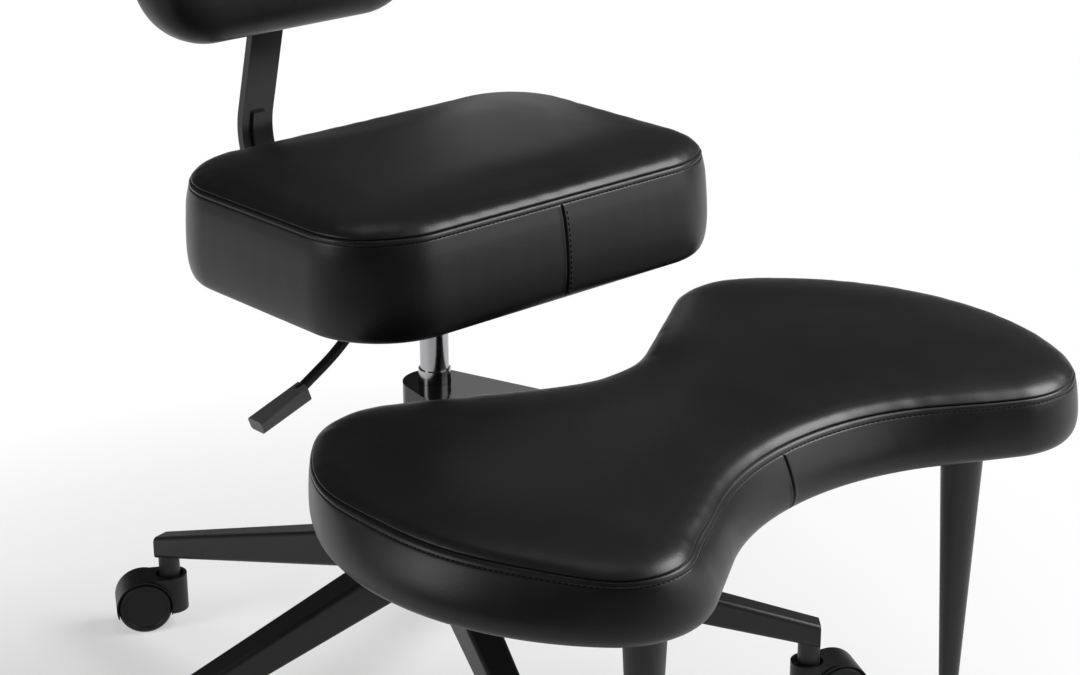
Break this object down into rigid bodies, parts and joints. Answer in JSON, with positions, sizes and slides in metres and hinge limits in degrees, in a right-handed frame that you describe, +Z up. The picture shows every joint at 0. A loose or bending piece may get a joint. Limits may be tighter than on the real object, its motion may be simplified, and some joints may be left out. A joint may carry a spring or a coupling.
{
  "type": "cross-legged office chair",
  "caption": "Rolling office chair with a cushioned seat, a small backrest on a bent bar and a bow-tie footrest platform that swings round its gas column on tapered legs.",
  "frame": {"origin": "on the floor, under the axis of the gas column", "axes": "+Z up along the column, -Y the way the sitter faces, +X to the sitter's left; the seat faces -Y and the platform stands turned 3.5 degrees from it, as in the picture"},
  "size_m": [0.8323, 0.9768, 0.853],
  "materials": {
    "satin_black_steel": "satin black powder coat",
    "gloss_black_steel": "gloss black paint",
    "chrome": "polished",
    "steel": "zinc plated",
    "bearing_plastic": "plain",
    "board": "plywood under black lining cloth",
    "black_leather": "smooth black coated leather",
    "black_plastic": "fine moulded",
    "wheel_plastic": "fine moulded"
  },
  "bodies": {
    "base": {"base_hub": "satin_black_steel", "base_arm_1": "satin_black_steel", "base_arm_2": "satin_black_steel", "base_arm_3": "satin_black_steel", "base_arm_4": "satin_black_steel", "base_arm_5": "satin_black_steel", "column_tube": "satin_black_steel", "support_collar": "satin_black_steel", "thrust_washer": "bearing_plastic", "guide_bush": "bearing_plastic", "column_cap": "chrome", "rod_bearing": "steel", "caster_stems": "steel"},
    "rod": {"piston_rod": "steel", "rod_clip": "steel"},
    "seat": {"gas_cylinder": "chrome", "seat_mechanism": "satin_black_steel", "lever_pin": "steel", "seat_board": "board", "seat_cushion": "black_leather", "seat_bolts": "steel", "back_bar": "satin_black_steel", "bar_bolts": "steel", "backrest_board": "board", "backrest_cushion": "black_leather", "backrest_screws": "steel"},
    "lever": {"lever_rod": "satin_black_steel", "lever_paddle": "black_plastic"},
    "release": {"release_pin": "steel"},
    "platform": {"swivel_hub": "gloss_black_steel", "hub_bush": "bearing_plastic", "bracket_arm": "gloss_black_steel", "bracket_bolts": "steel", "platform_board": "board", "platform_cushion": "black_leather", "leg_left": "satin_black_steel", "leg_right": "satin_black_steel", "leg_screws": "steel", "leg_stems": "steel"},
    "caster_1": {"caster_1_hood": "black_plastic"},
    "caster_1_roll": {"caster_1_wheels": "wheel_plastic", "caster_1_axle": "steel"},
    "caster_2": {"caster_2_hood": "black_plastic"},
    "caster_2_roll": {"caster_2_wheels": "wheel_plastic", "caster_2_axle": "steel"},
    "caster_3": {"caster_3_hood": "black_plastic"},
    "caster_3_roll": {"caster_3_wheels": "wheel_plastic", "caster_3_axle": "steel"},
    "caster_4": {"caster_4_hood": "black_plastic"},
    "caster_4_roll": {"caster_4_wheels": "wheel_plastic", "caster_4_axle": "steel"},
    "caster_5": {"caster_5_hood": "black_plastic"},
    "caster_5_roll": {"caster_5_wheels": "wheel_plastic", "caster_5_axle": "steel"},
    "leg_caster_left": {"leg_caster_left_hood": "black_plastic"},
    "leg_caster_left_roll": {"leg_caster_left_wheels": "wheel_plastic", "leg_caster_left_axle": "steel"},
    "leg_caster_right": {"leg_caster_right_hood": "black_plastic"},
    "leg_caster_right_roll": {"leg_caster_right_wheels": "wheel_plastic", "leg_caster_right_axle": "steel"}
  },
  "joints": [
    {"name": "seat_swivel", "type": "hinge", "parent": "base", "child": "rod", "pos_m": [0, 0, 0.1], "axis": [0, 0, 1], "continuous": true},
    {"name": "seat_height", "type": "slide", "parent": "rod", "child": "seat", "axis": [0, 0, 1], "range_m": [0, 0.1]},
    {"name": "lever_pull", "type": "hinge", "parent": "seat", "child": "lever", "pos_m": [-0.034, 0, 0.4843], "axis": [0, 1, 0], "range_deg": [0, 8], "stiffness_Nm_per_rad": 0.6, "springref_deg": -8.59},
    {"name": "release_press", "type": "slide", "parent": "seat", "child": "release", "axis": [0, 0, -1], "range_m": [0, 0.006]},
    {"name": "platform_swivel", "type": "hinge", "parent": "base", "child": "platform", "pos_m": [0, 0, 0.34], "axis": [0, 0, 1], "continuous": true},
    {"name": "caster_1_swivel", "type": "hinge", "parent": "base", "child": "caster_1", "pos_m": [-0.08413, 0.36441, 0.05], "axis": [0, 0, 1], "continuous": true},
    {"name": "caster_1_roll", "type": "hinge", "parent": "caster_1", "child": "caster_1_roll", "pos_m": [-0.10968, 0.37916, 0.029], "axis": [-0.5, -0.866, 0], "continuous": true},
    {"name": "caster_2_swivel", "type": "hinge", "parent": "base", "child": "caster_2", "pos_m": [-0.37258, 0.0326, 0.05], "axis": [0, 0, 1], "continuous": true},
    {"name": "caster_2_roll", "type": "hinge", "parent": "caster_2", "child": "caster_2_roll", "pos_m": [-0.39931, 0.02013, 0.029], "axis": [0.4226, -0.9063, 0], "continuous": true},
    {"name": "caster_3_swivel", "type": "hinge", "parent": "base", "child": "caster_3", "pos_m": [-0.14613, -0.34427, 0.05], "axis": [0, 0, 1], "continuous": true},
    {"name": "caster_3_roll", "type": "hinge", "parent": "caster_3", "child": "caster_3_roll", "pos_m": [-0.15024, -0.37348, 0.029], "axis": [0.9903, -0.1392, 0], "continuous": true},
    {"name": "caster_4_swivel", "type": "hinge", "parent": "base", "child": "caster_4", "pos_m": [0.28226, -0.24537, 0.05], "axis": [0, 0, 1], "continuous": true},
    {"name": "caster_4_roll", "type": "hinge", "parent": "caster_4", "child": "caster_4_roll", "pos_m": [0.30855, -0.25876, 0.029], "axis": [0.454, 0.891, 0], "continuous": true},
    {"name": "caster_5_swivel", "type": "hinge", "parent": "base", "child": "caster_5", "pos_m": [0.32058, 0.19262, 0.05], "axis": [0, 0, 1], "continuous": true},
    {"name": "caster_5_roll", "type": "hinge", "parent": "caster_5", "child": "caster_5_roll", "pos_m": [0.33067, 0.22035, 0.029], "axis": [-0.9397, 0.342, 0], "continuous": true},
    {"name": "leg_caster_left_swivel", "type": "hinge", "parent": "platform", "child": "leg_caster_left", "pos_m": [0.24098, -0.45514, 0.05], "axis": [0, 0, 1], "continuous": true},
    {"name": "leg_caster_left_roll", "type": "hinge", "parent": "leg_caster_left", "child": "leg_caster_left_roll", "pos_m": [0.22713, -0.42909, 0.029], "axis": [-0.8829, -0.4695, 0], "continuous": true},
    {"name": "leg_caster_right_swivel", "type": "hinge", "parent": "platform", "child": "leg_caster_right", "pos_m": [-0.18372, -0.48112, 0.05], "axis": [0, 0, 1], "continuous": true},
    {"name": "leg_caster_right_roll", "type": "hinge", "parent": "leg_caster_right", "child": "leg_caster_right_roll", "pos_m": [-0.16987, -0.45507, 0.029], "axis": [-0.8829, 0.4695, 0], "continuous": true}
  ],
  "couplings": [
    {"joint": "release_press", "follows": "lever_pull", "m_per_rad": 0.039}
  ]
}
